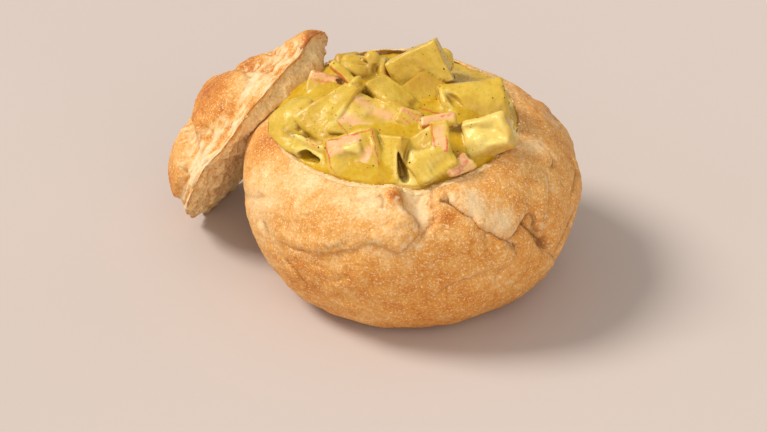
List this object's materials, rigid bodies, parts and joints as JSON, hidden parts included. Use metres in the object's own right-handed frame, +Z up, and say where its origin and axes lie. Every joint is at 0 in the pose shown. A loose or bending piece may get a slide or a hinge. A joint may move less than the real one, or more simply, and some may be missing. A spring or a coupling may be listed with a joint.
{
  "type": "crab curry in a bread bowl",
  "caption": "Round loaf hollowed into a bowl, heaped with thick yellow crab curry, its cut-off top leaning on the side.",
  "frame": {"origin": "centre of the loaf's flat base, on the surface that it stands on", "axes": "+Z up; -Y faces the viewer of the picture; the cap leans on the loaf from -X and +Y"},
  "size_m": [0.208, 0.1943, 0.1242],
  "materials": {
    "crust": "matte",
    "crumb": "matte",
    "curry": "satin",
    "crab_meat": "satin",
    "crab_pink": "satin",
    "crab_red": "satin"
  },
  "bodies": {
    "root": {"bread_bowl": "crust", "bread_cap": "crumb", "curry_sauce": "curry", "crab_tee_stem": "crab_pink", "crab_tee_bar": "crab_pink", "crab_front_cube": "crab_pink", "crab_step_block": "crab_meat", "crab_wedge": "crab_meat", "crab_rough_cube": "crab_meat", "crab_rolled_slab": "crab_meat", "crab_tall_block": "crab_meat", "crab_back_lump": "crab_meat", "crab_shaded_flake": "crab_meat", "crab_centre_block": "crab_meat", "crab_left_fold": "crab_meat", "crab_left_mound": "crab_meat", "crab_left_cube": "crab_red", "crab_thin_stick": "crab_meat", "crab_round_fold": "crab_meat", "crab_back_disc": "crab_meat", "crab_sunk_sheet": "crab_pink", "crab_red_end": "crab_red", "crab_rim_chunk": "crab_red", "crab_right_flap": "crab_meat", "crab_back_flake": "crab_meat", "crab_back_cube": "crab_meat", "crab_middle_chunk": "crab_pink", "crab_back_strip": "crab_meat", "crab_hollow_curl": "crab_meat", "crab_low_wedge": "crab_meat"}
  },
  "joints": []
}
